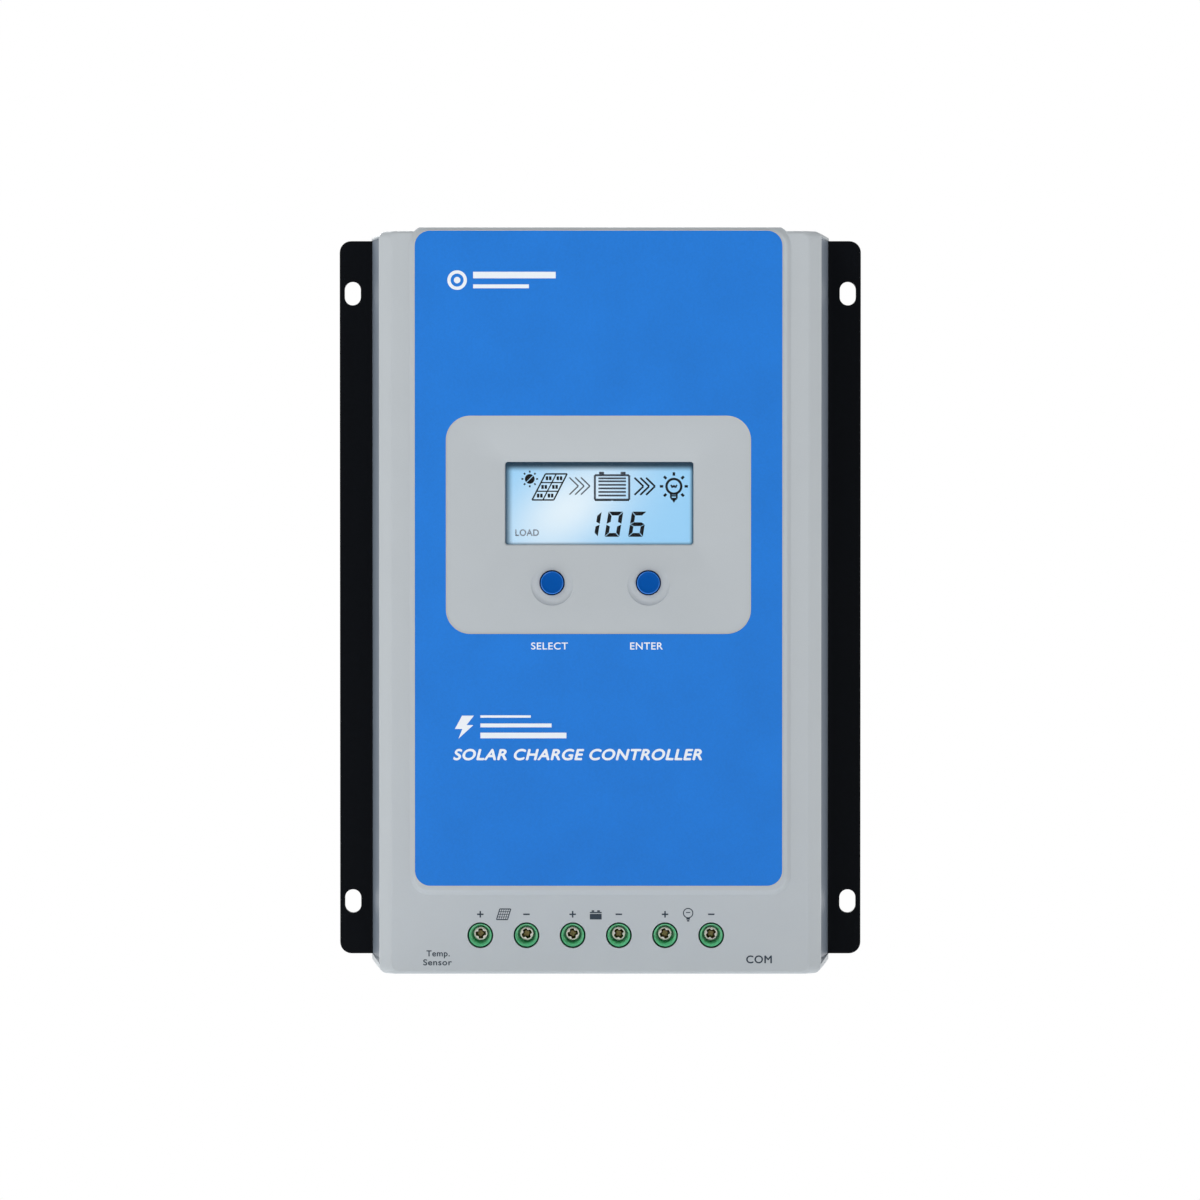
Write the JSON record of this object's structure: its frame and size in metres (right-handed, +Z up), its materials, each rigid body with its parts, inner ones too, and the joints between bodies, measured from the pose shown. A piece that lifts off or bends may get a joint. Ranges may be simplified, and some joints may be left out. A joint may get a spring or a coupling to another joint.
{
  "type": "solar charge controller",
  "caption": "Wall-mounted solar charge controller: pale grey cover with a blue front, a display, push buttons and screw terminals, on a finned black heat sink.",
  "frame": {"origin": "centre of the mounting face, on the wall plane at the middle of the slot pattern", "axes": "+Z up the wall as mounted, +Y into the wall, +X to the right seen from the front; the front faces -Y"},
  "size_m": [0.18, 0.063, 0.252],
  "materials": {
    "black_aluminium": "satin",
    "grey_plastic": "matte",
    "blue_film": "matte",
    "clear_plastic": "gloss",
    "display_glass": "gloss",
    "white_plastic": "matte",
    "blue_plastic": "gloss",
    "black_plastic": "matte",
    "green_plastic": "matte",
    "board": "satin",
    "nickel": "satin",
    "copper": "satin",
    "capacitor_sleeve": "satin",
    "thermal_pad": "matte"
  },
  "bodies": {
    "controller": {"heat_sink": "black_aluminium", "front_cover": "grey_plastic", "front_label": "blue_film", "display_lens": "clear_plastic", "display_glass": "display_glass", "display_tray": "white_plastic", "display_board": "board", "select_switch": "black_plastic", "enter_switch": "black_plastic", "ribbon_cable": "white_plastic", "main_board": "board", "board_rail_left": "black_plastic", "board_rail_right": "black_plastic", "board_screw_1": "nickel", "board_screw_2": "nickel", "board_screw_3": "nickel", "board_screw_4": "nickel", "terminal_block_solar": "green_plastic", "terminal_block_battery": "green_plastic", "terminal_block_load": "green_plastic", "terminal_contact_1": "copper", "terminal_contact_2": "copper", "terminal_contact_3": "copper", "terminal_contact_4": "copper", "terminal_contact_5": "copper", "terminal_contact_6": "copper", "data_jack": "black_plastic", "sensor_socket": "green_plastic", "power_transistor_1": "black_plastic", "power_transistor_2": "black_plastic", "power_transistor_3": "black_plastic", "power_transistor_4": "black_plastic", "thermal_pad": "thermal_pad", "transistor_clamp": "nickel", "clamp_screw_1": "nickel", "clamp_screw_2": "nickel", "capacitor_1": "capacitor_sleeve", "capacitor_2": "capacitor_sleeve", "inductor_1": "copper", "inductor_2": "copper", "cover_screw_1": "nickel", "cover_screw_2": "nickel", "cover_screw_3": "nickel", "cover_screw_4": "nickel"},
    "select_key": {"select_button": "blue_plastic", "select_switch_stem": "white_plastic"},
    "enter_key": {"enter_button": "blue_plastic", "enter_switch_stem": "white_plastic"},
    "clamp_screw_of_way_1": {"terminal_screw_1": "nickel"},
    "clamp_screw_of_way_2": {"terminal_screw_2": "nickel"},
    "clamp_screw_of_way_3": {"terminal_screw_3": "nickel"},
    "clamp_screw_of_way_4": {"terminal_screw_4": "nickel"},
    "clamp_screw_of_way_5": {"terminal_screw_5": "nickel"},
    "clamp_screw_of_way_6": {"terminal_screw_6": "nickel"},
    "clamp_cage_of_way_1": {"terminal_cage_1": "nickel"},
    "clamp_cage_of_way_2": {"terminal_cage_2": "nickel"},
    "clamp_cage_of_way_3": {"terminal_cage_3": "nickel"},
    "clamp_cage_of_way_4": {"terminal_cage_4": "nickel"},
    "clamp_cage_of_way_5": {"terminal_cage_5": "nickel"},
    "clamp_cage_of_way_6": {"terminal_cage_6": "nickel"}
  },
  "joints": [
    {"name": "select_press", "type": "slide", "parent": "controller", "child": "select_key", "axis": [0, 1, 0], "range_m": [0, 0.0005], "stiffness_N_per_m": 1500},
    {"name": "enter_press", "type": "slide", "parent": "controller", "child": "enter_key", "axis": [0, 1, 0], "range_m": [0, 0.0005], "stiffness_N_per_m": 1500},
    {"name": "terminal_screw_1_turn", "type": "hinge", "parent": "controller", "child": "clamp_screw_of_way_1", "pos_m": [-0.0405, -0.047, -0.1129], "axis": [0, 1, 0], "range_deg": [0, 2370]},
    {"name": "terminal_screw_2_turn", "type": "hinge", "parent": "controller", "child": "clamp_screw_of_way_2", "pos_m": [-0.0249, -0.047, -0.1129], "axis": [0, 1, 0], "range_deg": [0, 2370]},
    {"name": "terminal_screw_3_turn", "type": "hinge", "parent": "controller", "child": "clamp_screw_of_way_3", "pos_m": [-0.0093, -0.047, -0.1129], "axis": [0, 1, 0], "range_deg": [0, 2370]},
    {"name": "terminal_screw_4_turn", "type": "hinge", "parent": "controller", "child": "clamp_screw_of_way_4", "pos_m": [0.0063, -0.047, -0.1129], "axis": [0, 1, 0], "range_deg": [0, 2370]},
    {"name": "terminal_screw_5_turn", "type": "hinge", "parent": "controller", "child": "clamp_screw_of_way_5", "pos_m": [0.0219, -0.047, -0.1129], "axis": [0, 1, 0], "range_deg": [0, 2370]},
    {"name": "terminal_screw_6_turn", "type": "hinge", "parent": "controller", "child": "clamp_screw_of_way_6", "pos_m": [0.0375, -0.047, -0.1129], "axis": [0, 1, 0], "range_deg": [0, 2370]},
    {"name": "terminal_cage_1_rise", "type": "slide", "parent": "controller", "child": "clamp_cage_of_way_1", "axis": [0, -1, 0], "range_m": [0, 0.0046]},
    {"name": "terminal_cage_2_rise", "type": "slide", "parent": "controller", "child": "clamp_cage_of_way_2", "axis": [0, -1, 0], "range_m": [0, 0.0046]},
    {"name": "terminal_cage_3_rise", "type": "slide", "parent": "controller", "child": "clamp_cage_of_way_3", "axis": [0, -1, 0], "range_m": [0, 0.0046]},
    {"name": "terminal_cage_4_rise", "type": "slide", "parent": "controller", "child": "clamp_cage_of_way_4", "axis": [0, -1, 0], "range_m": [0, 0.0046]},
    {"name": "terminal_cage_5_rise", "type": "slide", "parent": "controller", "child": "clamp_cage_of_way_5", "axis": [0, -1, 0], "range_m": [0, 0.0046]},
    {"name": "terminal_cage_6_rise", "type": "slide", "parent": "controller", "child": "clamp_cage_of_way_6", "axis": [0, -1, 0], "range_m": [0, 0.0046]}
  ],
  "couplings": [
    {"joint": "terminal_screw_1_turn", "follows": "terminal_cage_1_rise", "rad_per_m": 8976},
    {"joint": "terminal_screw_2_turn", "follows": "terminal_cage_2_rise", "rad_per_m": 8976},
    {"joint": "terminal_screw_3_turn", "follows": "terminal_cage_3_rise", "rad_per_m": 8976},
    {"joint": "terminal_screw_4_turn", "follows": "terminal_cage_4_rise", "rad_per_m": 8976},
    {"joint": "terminal_screw_5_turn", "follows": "terminal_cage_5_rise", "rad_per_m": 8976},
    {"joint": "terminal_screw_6_turn", "follows": "terminal_cage_6_rise", "rad_per_m": 8976}
  ]
}
